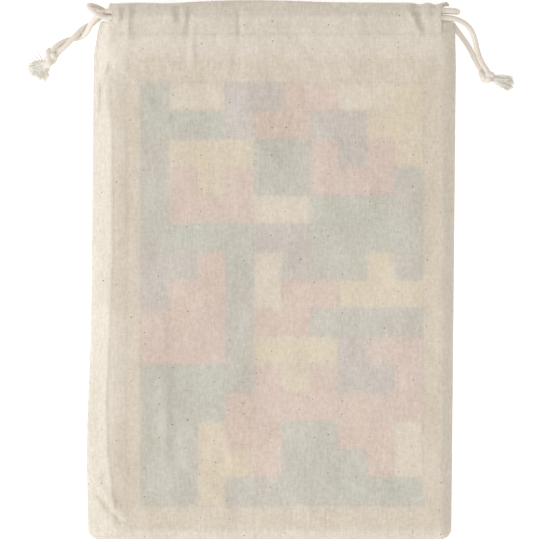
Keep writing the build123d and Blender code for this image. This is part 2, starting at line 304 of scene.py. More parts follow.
@dataclass(frozen=True)
class BareWood:
    """Sanded wood with its grain along Y."""

    light: Colour = (0.760, 0.590, 0.375)
    dark: Colour = (0.520, 0.350, 0.185)
    ring: float = 3.2 * MM
    plies: float = 0.0              # veneer thickness on a board's edge, or 0 for solid wood

    def build(self, name: str) -> Material:
        """Make the material.

        Args:
            name: its name.

        Returns:
            The material.
        """
        g = Graph(name)
        lines = g.noise(g.scaled((1.0 / self.ring, 9.0, 1.0 / self.ring)), detail=4.0)
        pores = g.noise(g.scaled((2600.0, 120.0, 2600.0)), detail=2.0)
        tone = g.math("MULTIPLY_ADD", pores, 0.35, g.math("MULTIPLY", lines, 1.0))
        colour = g.mix(g.spread(tone, 0.42, 0.95), self.light, self.dark)
        if self.plies:
            layer = g.math("SINE", g.math("MULTIPLY", g.axes(g.place)[2], math.tau / self.plies))
            facing = g.axes(g.node("ShaderNodeNewGeometry").outputs["Normal"])[2]
            edge = g.math("SUBTRACT", 1.0, g.math("ABSOLUTE", facing))
            share = g.math("MULTIPLY", g.spread(layer, -0.2, 0.6), g.math("MULTIPLY", edge, 0.55))
            colour = g.mix(share, colour, self.dark)
        return g.finish(g.principled(colour, 0.58, {"Normal": g.bump(tone, 0.05 * MM)}))


@dataclass(frozen=True)
class PaintedWood:
    """Satin paint on wood, thin enough for the grain to tell."""

    paint: Colour
    wood: Colour = (0.62, 0.44, 0.25)

    def build(self, name: str) -> Material:
        """Make the material.

        Args:
            name: its name.

        Returns:
            The material.
        """
        g = Graph(name)
        chance = g.node("ShaderNodeObjectInfo").outputs["Random"]
        shift = g.node("ShaderNodeCombineXYZ", {0: chance, 1: chance, 2: chance})
        moved = g.node(
            "ShaderNodeVectorMath", {0: g.place, 1: shift.outputs[0]}, operation="ADD"
        )
        grain = g.noise(g.scaled((420.0, 26.0, 420.0), moved.outputs[0]), detail=4.0)
        pore = g.noise(g.scaled((2400.0, 140.0, 2400.0), moved.outputs[0]), detail=2.0)
        deep = tuple(c * 0.74 for c in self.paint)
        colour = g.mix(g.spread(grain, 0.35, 0.68), deep, self.paint)
        bare = g.math("MULTIPLY", g.spread(pore, 0.60, 0.74), 0.28)
        colour = g.mix(bare, colour, self.wood)
        height = g.math("MULTIPLY_ADD", pore, 0.5, grain)
        rough = g.math("MULTIPLY_ADD", grain, 0.22, 0.34)
        return g.finish(g.principled(colour, rough, {"Normal": g.bump(height, 0.06 * MM)}))


@dataclass(frozen=True)
class WhitePaper:
    """The pale ground that the sack lies on."""

    colour: Colour = (0.86, 0.86, 0.86)
    lift: float = 0.50              # light of its own, which keeps soft shadows faint

    def build(self, name: str) -> Material:
        """Make the material.

        Args:
            name: its name.

        Returns:
            The material.
        """
        g = Graph(name)
        tooth = g.noise(g.place, 900.0, 2.0)
        colour = g.mix(g.spread(tooth, 0.3, 0.7), self.colour, tuple(c * 0.99 for c in self.colour))
        glow = {"Emission Color": (1.0, 1.0, 1.0, 1.0), "Emission Strength": self.lift}
        return g.finish(g.principled(colour, 0.95, glow))


# ---------- mesh helpers


@dataclass
class Shell:
    """Points in millimetres, faces, and for each point a value of painted shade and tone: how deep between a
    cord's strands it lies, or a fibre's own tone.
    """

    points: list[np.ndarray] = field(default_factory=list)
    faces: list[Face] = field(default_factory=list)
    crevice: list[np.ndarray] = field(default_factory=list)
    count: int = 0

    def add(
        self, points: np.ndarray, faces: list[Face], crevice: np.ndarray | None = None
    ) -> None:
        """Add one closed or open part.

        Args:
            points: its points, one row each.
            faces: its faces, as point numbers from 0.
            crevice: painted shade from 0 on the outside to 1 in the deepest fold between strands, or a fibre's own
                tone; one for each point.
        """
        self.points.append(points)
        self.faces += [tuple(i + self.count for i in face) for face in faces]
        self.crevice.append(np.zeros(len(points)) if crevice is None else crevice)
        self.count += len(points)

    def make(self, name: str, finish: Material, place: Callable | None = None) -> Object:
        """Make the object, in metres.

        Args:
            name: the piece's name.
            finish: its material.
            place: what carries the points to the row frame, or None if they are in it.

        Returns:
            The new object.
        """
        points = np.vstack(self.points)
        points = place(points) if place else points * MM
        mesh = bpy.data.meshes.new(name)
        mesh.from_pydata(points.tolist(), [], self.faces)
        mesh.materials.append(finish)
        # each point's painted shade and tone, which the yarn material reads
        depth = mesh.attributes.new("crevice", "FLOAT", "POINT")
        depth.data.foreach_set("value", np.concatenate(self.crevice).astype(np.float32))
        mesh.polygons.foreach_set("use_smooth", [True] * len(mesh.polygons))
        mesh.update()
        piece = bpy.data.objects.new(name, mesh)
        bpy.context.scene.collection.objects.link(piece)
        return piece


def ease(value: np.ndarray | float) -> np.ndarray:
    """0 below 0, 1 above 1, and a smooth rise between them."""
    t = np.clip(value, 0.0, 1.0)
    return t * t * (3.0 - 2.0 * t)


def settle(piece: Object, body: Body, node: str) -> Object:
    """Let a piece ride on its body and stand for its CAD node.

    Args:
        piece: the piece.
        body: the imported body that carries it.
        node: the CAD node that it replaces.

    Returns:
        The piece.
    """
    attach(piece, body.value)
    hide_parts(node)
    LOG.info("%s: %d points", piece.name, len(piece.data.vertices))
    return piece


def strip_faces(below: Sequence[int], above: Sequence[int]) -> list[Face]:
    """Faces between two rows of points, which are given by their numbers."""
    return [(a, b, d, c) for a, b, c, d in zip(below, below[1:], above, above[1:])]


def grid_faces(rows: int, columns: int) -> list[Face]:
    """Faces between the points of a grid that is stored row after row."""
    row = [range(r * columns, (r + 1) * columns) for r in range(rows)]
    return [face for below, above in zip(row, row[1:]) for face in strip_faces(below, above)]


def arc_length(path: np.ndarray) -> np.ndarray:
    """The length along a path at each of its points."""
    steps = np.linalg.norm(np.diff(path, axis=0), axis=1)
    return np.concatenate(([0.0], np.cumsum(steps)))


def even_path(path: np.ndarray, step: float) -> np.ndarray:
    """The same path with points about one step apart."""
    along = arc_length(path)
    wanted = np.linspace(0.0, along[-1], max(4, int(along[-1] / step)))
    return np.column_stack([np.interp(wanted, along, path[:, i]) for i in range(3)])


def tube(
    path: np.ndarray, sides: int, radius: Callable[[np.ndarray, np.ndarray], np.ndarray]
) -> tuple[np.ndarray, list]:
    """A round or textured tube along a path, closed at both ends.

    Args:
        path: its middle line.
        sides: points round it.
        radius: the radius at each length along it and angle round it.

    Returns:
        Its points and its faces.
    """
    along = arc_length(path)
    tangents = np.gradient(path, axis=0)
    tangents /= np.linalg.norm(tangents, axis=1)[:, None]
    seed = np.cross(tangents[0], (0.0, 0.0, 1.0))
    if np.linalg.norm(seed) < 0.1:
        seed = np.cross(tangents[0], (1.0, 0.0, 0.0))
    angles = np.arange(sides) * math.tau / sides
    rings = []
    for point, tangent, length in zip(path, tangents, along):
        seed = seed - tangent * (seed @ tangent)
        seed /= np.linalg.norm(seed)
        other = np.cross(tangent, seed)
        size = radius(np.full(sides, length), angles)[:, None]
        ring = np.cos(angles)[:, None] * seed + np.sin(angles)[:, None] * other
        rings.append(point + ring * size)
    points = np.vstack(rings)
    loops = [[r * sides + s for s in (*range(sides), 0)] for r in range(len(path))]
    faces = [face for below, above in zip(loops, loops[1:]) for face in strip_faces(below, above)]
    faces.append(tuple(reversed(loops[0][:-1])))
    faces.append(tuple(loops[-1][:-1]))
    return points, faces


# ---------- the sack's own frame


@dataclass
class SackFrame:
    """The sack's flat frame, which leans because its back casing lifts the mouth end."""

    lean: float = 0.0
    lift: float = 0.0
    board: float = 3.0              # thickness of the tray's board

    def __post_init__(self) -> None:
        """Read the lean from the tray's slide, and the lift from its board."""
        slide = next(j for j in frame["joints"] if j["child"] == Body.TRAY.value)
        self.lean = math.atan2(slide["axis"][2], slide["axis"][1])
        low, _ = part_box("tray_base")
        near = (low.y / MM + self.board * math.sin(self.lean)) / math.cos(self.lean)
        self.lift = low.z / MM - near * math.sin(self.lean)

    def place(self, points: np.ndarray) -> np.ndarray:
        """Carry points of the flat frame, in millimetres, to the row frame, in metres."""
        x, y, z = points.T
        cos, sin = math.cos(self.lean), math.sin(self.lean)
        return np.column_stack((x, y * cos - z * sin, y * sin + z * cos + self.lift)) * MM

    def table(self, y: np.ndarray) -> np.ndarray:
        """The height of the table in the flat frame at each y."""
        return -(y * math.sin(self.lean) + self.lift) / math.cos(self.lean)


@dataclass
class Fold:
    """One ridge or crease of the cloth, from one point of the flat frame to another."""

    start: tuple[float, float]
    end: tuple[float, float]
    width: float
    height: float
    fade: float = 0.35              # share of its length over which each end dies out

    def lift(self, x: np.ndarray, y: np.ndarray) -> np.ndarray:
        """How far it lifts the cloth at each point."""
        dx, dy = self.end[0] - self.start[0], self.end[1] - self.start[1]
        length = math.hypot(dx, dy)
        along = ((x - self.start[0]) * dx + (y - self.start[1]) * dy) / length**2
        across = ((x - self.start[0]) * dy - (y - self.start[1]) * dx) / length
        ends = ease(along / self.fade) * ease((1.0 - along) / self.fade)
        return self.height * ends * np.exp(-((across / self.width) ** 2))


@dataclass
class SackCloth:
    """The front and back panels, drawn flat: the sack's outline, folds and casings."""

    where: SackFrame
    half_width: float = 104.1
    half_length: float = 152.0      # the middle to the mouth edge
    foot: float = 152.9             # the middle to the closed end
    hem: float = 134.4              # the stitching that closes the casings
    shoulder: float = 117.0         # where the sides begin to draw in
    drift: float = 2.5              # how far both side edges lean to the right
    left_shoulder: float = 2.3      # how far the left side draws in by the hem
    right_shoulder: float = 0.4
    bulge: float = 1.9              # the left edge's slack below its middle
    corner: float = 6.0             # rounding of the closed end's corners
    cloth: float = 0.45             # its thickness
    front_face: float = 9.3         # inner face of the front panel
    back_face: float = -0.3
    tray_left: float = -83.6        # the tray's rim under the front
    tray_right: float = 94.4
    tray_low: float = -147.3
    front_left: float = -92.2       # the ends of the casings
    front_right: float = 96.2
    back_left: float = -84.0
    back_right: float = 96.6
    tab: float = 7.1                # how far the side margins go past the hem
    near_lane: float = 4.7          # mouth edge to the two cords' middles
    far_lane: float = 8.7
    lane_rise: float = 2.35         # a panel's inner face to a cord's middle
    over_cord: float = 2.05         # a cord's middle to the cloth over it
    step: float = 1.25              # one column or row of the grid to the next
    fine_step: float = 0.6          # one column to the next where the slack lies
    fine_reach: float = 12.0        # how far past the casing's left end that goes
    folds: tuple[Fold, ...] = (
        # gathers along the casing, and pleats just under it
        Fold((-54.9, 153.0), (-51.8, 138.6), 2.0, -1.9),
        Fold((-57.6, 153.0), (-55.4, 137.0), 2.4, 0.7),
        Fold((-46.6, 152.0), (-48.6, 129.0), 1.1, -1.5),
        Fold((-49.8, 152.0), (-50.6, 134.0), 1.6, 0.9),
        Fold((-45.2, 140.0), (-46.2, 112.0), 1.7, 1.0),
        Fold((-18.4, 151.0), (-18.9, 128.0), 1.4, -1.3),
        Fold((-15.6, 151.0), (-16.4, 130.0), 2.0, 0.5),
        Fold((-18.8, 136.0), (-20.0, 112.0), 4.2, -0.6),
        Fold((80.0, 154.0), (86.0, 134.0), 2.0, -2.2),
        Fold((75.4, 152.0), (85.2, 130.0), 1.9, 1.9),
        Fold((92.4, 153.0), (90.6, 143.0), 1.6, -1.1),
        Fold((-87.3, 153.0), (-87.6, 138.0), 1.3, 0.9),
        Fold((-84.2, 153.0), (-84.6, 140.0), 1.6, -0.8),
        Fold((-80.9, 154.0), (-82.4, 128.0), 1.7, 1.3),
        Fold((-77.4, 152.0), (-78.2, 141.0), 1.8, -0.4),
        Fold((48.8, 150.0), (48.6, 132.0), 3.0, 0.6),
        Fold((9.0, 133.0), (26.0, 111.0), 2.8, 0.6),
        # the left edge's slack
        Fold((-96.9, 113.0), (-98.4, 84.0), 1.1, -6.3),
        Fold((-97.9, 104.0), (-90.0, 120.0), 1.3, -3.4),
        Fold((-95.2, 112.0), (-94.4, 84.0), 1.5, 2.2),
        # creases over the tray
        Fold((-60.7, -44.0), (-60.2, -124.0), 3.0, 1.1),
        Fold((-63.6, -18.0), (-60.0, -56.0), 2.2, 0.5),
        Fold((-27.0, -86.0), (-22.4, -120.0), 2.0, 0.45),
        # the closed end's corners
        Fold((-103.0, -112.0), (-85.4, -142.0), 2.6, 2.2),
        Fold((-104.0, -121.5), (-83.0, -145.6), 1.7, -2.5),
        Fold((-104.0, -130.0), (-95.0, -153.0), 2.2, -1.9),
        Fold((89.0, -147.6), (98.0, -152.0), 1.3, -1.0),
    )
    swell: float = 0.30             # height of the broad undulations of the slack cloth
    seed: int = 5

    # (y, x) down the ridge of slack beside the left edge, and (y, share of its height)
    crest: tuple[tuple[float, float], ...] = (
        (-131, -89.8), (-102, -93.6), (-74, -94.2), (5, -91.0), (73, -91.0), (111, -92.6),
    )
    crest_share: tuple[tuple[float, float], ...] = (
        (-150, 0.0), (-134, 0.8), (-110, 1.0), (70, 1.0), (100, 0.8), (118, 0.0),
    )
    crest_height: float = 3.3
    crest_foot: float = -82.0       # where the ridge's right side meets the tray
    # where the gathers pull the mouth edge in: x, half width and depth
    dips: tuple[Point, ...] = (
        (-58.0, 11.0, 0.6), (83.4, 2.6, 1.0), (92.5, 2.4, 1.2), (-88.0, 4.0, 0.35),
        (-12.0, 38.0, -1.5),
    )
    # back from the mouth edge and rise off the panel's inner face, once round a casing
    round_casing: tuple[tuple[float, float], ...] = (
        (17.6, 1.40), (16.4, 1.60), (15.0, 2.25), (13.2, 3.5), (11.4, 4.8), (9.4, 5.55),
        (7.4, 5.70), (5.6, 5.35), (3.8, 4.60), (2.2, 3.75), (0.9, 2.8), (0.3, 1.9), (0.5, 1.1),
        (1.5, 0.55), (3.2, 0.30), (7.0, 0.26), (11.0, 0.26), (15.0, 0.26), (18.6, 0.26),
    )
    casing_rows: int = 46

    # ---- outline

    def edges(self, y: np.ndarray) -> tuple[np.ndarray, np.ndarray]:
        """The x of the left and the right side edge at each y."""
        share = np.clip((y + self.foot) / (self.shoulder + self.foot), 0, 1)
        narrow = np.clip((y - self.shoulder) / (self.hem - self.shoulder), 0, 1.5)
        rise = np.clip(y + self.foot, 0.0, self.corner)
        cut = self.corner - np.sqrt(self.corner**2 - (self.corner - rise) ** 2)
        bulge = self.bulge * np.exp(-(((y + 100.0) / 48.0) ** 2))
        left = -self.half_width + self.drift * share + self.left_shoulder * narrow**1.6 + cut - bulge
        right = self.half_width - self.drift * (1 - share) - self.right_shoulder * narrow - cut
        return left, right

    def columns(self, left_end: float, right_end: float) -> tuple[np.ndarray, int, int]:
        """Where the grid's columns lie across the sack, from 0 to 1.

        Args:
            left_end: x of the casing's left end at the hem.
            right_end: x of its right end.

        Returns:
            The columns, and the numbers of the two that meet the casing's ends.
        """
        left, right = (float(e[0]) for e in self.edges(np.array([self.hem])))
        width = right - left
        a, b = ((end - left) / width for end in (left_end, right_end))
        stops = (0.0, a, a + self.fine_reach / width, b, 1.0)
        steps = (self.fine_step, self.fine_step, self.step, self.step)
        parts = []
        for low, high, step in zip(stops, stops[1:], steps):
            count = max(3, round((high - low) * width / step))
            parts.append(np.linspace(low, high, count + 1)[1:])
        across = np.concatenate(([0.0], *parts))
        return across, len(parts[0]), len(across) - 1 - len(parts[-1])

    # ---- the front's height

    def waves(self, x: np.ndarray, y: np.ndarray) -> np.ndarray:
        """Broad soft undulations, mostly running down the sack."""
        chance = np.random.default_rng(self.seed)
        total = np.zeros_like(x)
        for length in (62, 47, 38, 31, 26, 21, 17, 14, 11.5, 9.5):
            heading = chance.normal(0.0, 0.55)
            phase = chance.uniform(0, math.tau)
            bend = chance.uniform(0.02, 0.06)
            run = x * math.cos(heading) + y * math.sin(heading) + 4.0 * np.sin(y * bend + phase)
            patch = 0.55 + 0.45 * np.sin(y * chance.uniform(0.015, 0.05) + chance.uniform(0, 6))
            total += (length / 62) ** 0.8 * patch * np.sin(run * math.tau / length + phase)
        return total * self.swell

    def front_height(self, x: np.ndarray, y: np.ndarray) -> np.ndarray:
        """The height of the front panel's middle layer below its hem."""
        left, right = self.edges(y)
        near_mouth = np.clip((y - self.shoulder) / (self.hem - self.shoulder), 0, 1)
        flat_left = self.tray_left - 0.9 - 7.6 * near_mouth
        flat_right = self.tray_right + 0.9 + 0.9 * near_mouth
        from_left = np.clip((x - left) / (flat_left - left), 0, 1)
        from_right = np.clip((right - x) / (right - flat_right), 0, 1)
        from_low = np.clip((y + self.foot) / (self.tray_low - 0.8 + self.foot), 0, 1)
        slopes = (1 - (1 - from_left) ** 2.9) * (1 - (1 - from_right) ** 2.6)
        slopes = slopes * (1 - (1 - from_low) ** 2.2)
        crest = np.interp(y, *zip(*self.crest))
        share = np.interp(y, *zip(*self.crest_share))
        rising = np.exp(-(((x - crest + 0.4) / 2.8) ** 2))
        falling = np.clip((self.crest_foot - x) / (self.crest_foot - crest), 0, 1) * (x > crest - 0.4)
        ridge = np.where(x < crest - 0.4, rising, np.maximum(rising, 0.86 * falling))
        inward = np.minimum(np.minimum(x - left, right - x), y + self.foot)
        free = ease(inward / 9.0)
        folds = sum(fold.lift(x, y) for fold in self.folds)
        top = self.front_face + self.cloth / 2 + 0.05
        slack = 0.9 + self.waves(x, y) + folds + share * (self.crest_height * ridge)
        over_tray = ease((x - self.tray_left + 2.0) / 2.0)
        held = np.where(slack > 0.35, slack, 0.35 * np.exp(np.clip(slack / 0.35 - 1, -9, 0)))
        slack = held * over_tray + np.maximum(slack, -6.0) * (1 - over_tray)
        return (top - self.seam_height()) * slopes + self.seam_height() + slack * free

    def seam_height(self) -> float:
        """The height of the front's middle layer where it meets the back."""
        return self.back_face + self.cloth / 2 + 0.03

    # ---- casings

    def casing_profile(self) -> np.ndarray:
        """Even steps round a casing: over its outer layer, round the fold at the mouth and
        back along its inner layer."""
        knots = np.array(self.round_casing)
        along = arc_length(knots)
        wanted = np.linspace(0, along[-1], self.casing_rows)
        return np.column_stack([np.interp(wanted, along, knots[:, i]) for i in (0, 1)])

    def mouth_dip(self, x: np.ndarray) -> np.ndarray:
        """How far the gathers pull the mouth edge in at each x."""
        return sum(deep * np.exp(-(((x - at) / wide) ** 2)) for at, wide, deep in self.dips)

    def at_hem(self, across: np.ndarray) -> np.ndarray:
        """The x of columns where they cross the hem."""
        left, right = (float(e[0]) for e in self.edges(np.array([self.hem])))
        return left + (right - left) * across

    def panel(self, side: Side, name: str, finish: Material) -> Object:
        """Build one panel with its casing.

        Args:
            side: front or back.
            name: the piece's name.
            finish: its cloth.

        Returns:
            The panel.
        """
        front = side is Side.FRONT
        face = self.front_face if front else self.back_face
        ends = (self.front_left, self.front_right) if front else (self.back_left, self.back_right)
        across, first, last = self.columns(*ends)
        below = np.linspace(0, 1, 14) ** 1.5 * 12.0 - self.foot
        above = np.linspace(below[-1], self.hem, round((self.hem - below[-1]) / self.step))
        rows = np.concatenate((below, above[1:]))
        y = np.repeat(rows, len(across))
        left, right = self.edges(y)
        x = left + (right - left) * np.tile(across, len(rows))
        hem_rise = 0.25 * ease((y - (self.hem - 5.0)) / 5.0)
        if front:
            z = self.front_height(x, y) + hem_rise
        else:
            z = np.full_like(x, face - self.cloth / 2 - 0.03) - hem_rise
        shell = Shell()
        shell.add(np.column_stack((x, y, z)), grid_faces(len(rows), len(across)))
        hem_row = (len(rows) - 1) * len(across)
        self.add_casing(shell, side, face, across, first, last, hem_row)
        if not front:
            self.add_tabs(shell, across, first, last, hem_row)
        piece = shell.make(name, finish, self.where.place)
        thicken = piece.modifiers.new("cloth", "SOLIDIFY")
        thicken.thickness = self.cloth * MM
        thicken.offset = 0.0
        return settle(piece, Body.SACK, name.replace("_cloth", ""))

    def add_casing(
        self, shell: Shell, side: Side, face: float, across: np.ndarray,
        first: int, last: int, hem_row: int,
    ) -> None:
        """Add a casing, joined to the panel's last row.

        Args:
            shell: the panel so far.
            side: front or back.
            face: height of the panel's inner face.
            across: the columns.
            first: the column at the casing's left end.
            last: the column at its right end.
            hem_row: number of the last row's first point.
        """
        profile = self.casing_profile()[1:]
        columns = self.at_hem(across[first : last + 1])
        x = np.tile(columns, len(profile))
        back = np.repeat(profile[:, 0], len(columns))
        rise = np.repeat(profile[:, 1], len(columns))
        near_edge = ease(1.0 - back / 8.0)
        y = self.half_length - back - self.mouth_dip(x) * near_edge
        outer = ease((rise - 0.5) / 2.5)
        z = face + side.value * rise
        if side is Side.FRONT:
            gather = sum(fold.lift(x, self.half_length - back) for fold in self.folds)
            soft = 0.35 * self.waves(x, y)
            z = z + outer * (np.clip(gather, -1.25, 1.5) + soft)
            hem = self.front_height(x, np.full_like(x, self.hem)) + 0.25
            near_hem = ease((back - 10.5) / 6.6) * (rise > 0.5)
            z = z + (hem - face - profile[0, 1] + 0.1) * near_hem
            near_left = ease(1 - (x - self.front_left) / 7.0)
            near_right = ease(1 - (self.front_right - x) / 4.0)
            x = x + 2.2 * outer * near_left * np.exp(-(((back - 8.4) / 2.2) ** 2))
            x = x - 0.9 * outer * near_left * np.exp(-(((back - 3.4) / 2.0) ** 2))
            x = x - 0.7 * outer * near_right * np.exp(-(((back - 8.0) / 3.0) ** 2))
            behind = self.half_length - y
            lane = np.minimum(np.abs(behind - self.near_lane), np.abs(behind - self.far_lane))
            clear = self.lane_rise + self.over_cord * np.sqrt(1 - np.clip(lane / self.over_cord, 0, 1) ** 2)
            z = np.where((rise > 0.5) & (lane < self.over_cord), np.maximum(z, face + clear), z)
        else:
            flare = ease((x - (self.back_right - 7.0)) / 7.0) * ease((3.0 - back) / 1.8)
            x = x + 3.8 * flare
            y = y + 1.6 * flare - 2.0 * ease((x - self.back_right - 1.2) / 2.8) ** 2 * flare
            z = np.maximum(z, self.where.table(y) + self.cloth / 2 + 0.03)
        width = last - first + 1
        start = shell.count
        shell.add(np.column_stack((x, y, z)), grid_faces(len(profile), width))
        hem_points = range(hem_row + first, hem_row + last + 1)
        shell.faces += strip_faces(hem_points, range(start, start + width))
        if side is Side.FRONT:
            count = int(np.argmax(profile[:, 0] < self.half_length - self.hem - self.tab - 0.4))
            ends = [start + r * width for r in range(count)]
            points = np.column_stack((x, y, z))[[r * width for r in range(count)]]
            self.add_left_margin(shell, across[: first + 1], points, ends, hem_row)
            self.add_right_margin(shell, across[last:], hem_row + last)

    def add_right_margin(self, shell: Shell, across: np.ndarray, hem_row: int) -> None:
        """Carry the front's right margin past the hem, loose beside the casing's end.

        Args:
            shell: the panel so far.
            across: the margin's columns.
            hem_row: number of the hem row's point at the first of them.
        """
        rows = self.tab * np.linspace(0, 1, 8)[1:]
        past = np.repeat(rows, len(across))
        share = np.tile((across - across[0]) / (across[-1] - across[0]), len(rows))
        x = np.tile(self.at_hem(across), len(rows)) - 1.5 * share * past / self.tab
        y = self.hem + past
        z = self.front_height(x, y) + 0.25 - 1.3 * ease(past / 3.0) * (1 - share)
        start = shell.count
        shell.add(np.column_stack((x, y, z)), grid_faces(len(rows), len(across)))
        width = len(across)
        shell.faces += strip_faces(range(hem_row, hem_row + width), range(start, start + width))

    def add_left_margin(
        self, shell: Shell, across: np.ndarray, seam: np.ndarray, ends: list[int], hem_row: int
    ) -> None:
        """Carry the front's left margin past the hem, joined to the casing's left end.

        Args:
            shell: the panel so far.
            across: the margin's columns, the casing's end being the last.
            seam: the casing's end points, one for each row.
            ends: their numbers in the shell.
            hem_row: number of the last row's first point.
        """
        count = len(across) - 1
        below = list(range(hem_row, hem_row + count + 1))
        for point, end in zip(seam, ends):
            outline = float(self.edges(np.array([point[1]]))[0][0])
            share = (across[:-1] - across[0]) / (across[-1] - across[0])
            x = outline + (point[0] - outline) * share
            y = np.full(count, point[1])
            low = self.front_height(x, y) + 0.25
            z = low + (point[2] - low) * ease((share - 0.25) / 0.75)
            start = shell.count
            shell.add(np.column_stack((x, y, z)), [])
            row = [*range(start, start + count), end]
            shell.faces += strip_faces(below, row)
            below = row

    def add_tabs(
        self, shell: Shell, across: np.ndarray, first: int, last: int, hem_row: int
    ) -> None:
        """Add the back panel's two side margins past the hem.

        Args:
            shell: the panel so far.
            across: the columns.
            first: the column at the casing's left end.
            last: the column at its right end.
            hem_row: number of the last row's first point.
        """
        rows = self.hem + self.tab * np.linspace(0, 1, 7)[1:]
        height = self.back_face - self.cloth / 2 - 0.03
        for low, high, drawn_in in ((0, first, 2.4), (last, len(across) - 1, -1.6)):
            count = high - low + 1
            y = np.repeat(rows, count)
            share = (y - self.hem) / self.tab
            outward = np.linspace(1, 0, count) if low == 0 else np.linspace(0, 1, count)
            x = np.tile(self.at_hem(across[low : high + 1]), len(rows))
            x = x + drawn_in * share * np.tile(outward, len(rows))
            start = shell.count
            shell.add(np.column_stack((x, y, np.full_like(x, height))), grid_faces(len(rows), count))
            hem_points = range(hem_row + low, hem_row + high + 1)
            shell.faces += strip_faces(hem_points, range(start, start + count))


# ---------- sewing thread


@dataclass
class Stitching:
    """Rows of lockstitch, each stitch a short bowed thread."""

    where: SackFrame
    cloth: SackCloth
    length: float = 2.1
    pitch: float = 2.6
    radius: float = 0.13
    dive: float = 0.28              # how far a stitch's ends go into the cloth
    inset: float = 2.2              # a seam's stitches to the sack's edge

    def stitch(self, middle: np.ndarray, heading: float) -> tuple[np.ndarray, list]:
        """One stitch that dives into the cloth at both ends."""
        share = np.linspace(-1, 1, 7)
        half = self.length / 2
        reach = share * self.length / 2
        path = np.column_stack(
            (reach * math.cos(heading), reach * math.sin(heading), -self.dive * share**4)
        ) + middle

        def size(length: np.ndarray, _angle: np.ndarray) -> np.ndarray:
            """The thread's radius, which shrinks toward both ends."""
            return self.radius * np.clip(1.0 - np.abs(length / half - 1.0) ** 4, 0.15, 1.0)

        return tube(path, 6, size)

    def row(self, name: str, node: str, runs: list[list[Point]], finish: Material) -> Object:
        """A piece of stitches along straight runs.

        Args:
            name: the piece's name.
            node: the CAD node that it stands for.
            runs: each a list of corner points, in the flat frame.
            finish: the thread.

        Returns:
            The piece.
        """
        shell = Shell()
        for run in runs:
            corners = np.array(run, float)
            for a, b in zip(corners, corners[1:]):
                span = float(np.linalg.norm(b - a))
                heading = math.atan2(b[1] - a[1], b[0] - a[0])
                count = max(1, int(span / self.pitch))
                for i in range(count):
                    points, faces = self.stitch(a + (b - a) * (i + 0.5) / count, heading)
                    shell.add(points, faces)
        piece = shell.make(name, finish, self.where.place)
        return settle(piece, Body.SACK, node)

    def hem_runs(self) -> list[list[Point]]:
        """The row along the front casing, on the cloth's surface."""
        c = self.cloth
        y = c.hem - 0.6
        x = np.linspace(c.front_left + 1.0, c.front_right - 0.6, 74)
        z = c.front_height(x, np.full_like(x, y)) + 0.22 + c.cloth / 2
        return [list(zip(x, np.full_like(x, y), z))]

    def build(self, finish: Material) -> None:
        """Sew every row."""
        c = self.cloth
        low = c.back_face - c.cloth - 0.55
        rear = [(x, c.hem - 0.6, low) for x in (c.back_left + 1.0, c.back_right - 1.0)]
        tab = [(c.front_right + x, c.hem + 0.8, c.back_face) for x in (0.4, 4.4)]
        self.row("stitches_front_casing", "hem_stitches_front", self.hem_runs(), finish)
        self.row("stitches_back_casing", "hem_stitches_back", [rear, tab], finish)
        y = np.array([-c.foot + self.inset + 2.0, c.shoulder, c.hem - 1.0])
        seam = c.back_face + 0.02
        for name, edge, inward in zip(("left", "right"), c.edges(y), (self.inset, -self.inset)):
            run = [(x + inward, v, seam) for x, v in zip(edge, y)]
            self.row("seam_" + name, "side_seam_" + name, [run], finish)
        end = -c.foot + self.inset
        foot = [(-c.half_width + 7.0, end, seam), (c.half_width - 9.0, end, seam)]
        self.row("seam_closed_end", "bottom_seam", [foot], finish)


# ---------- drawcords


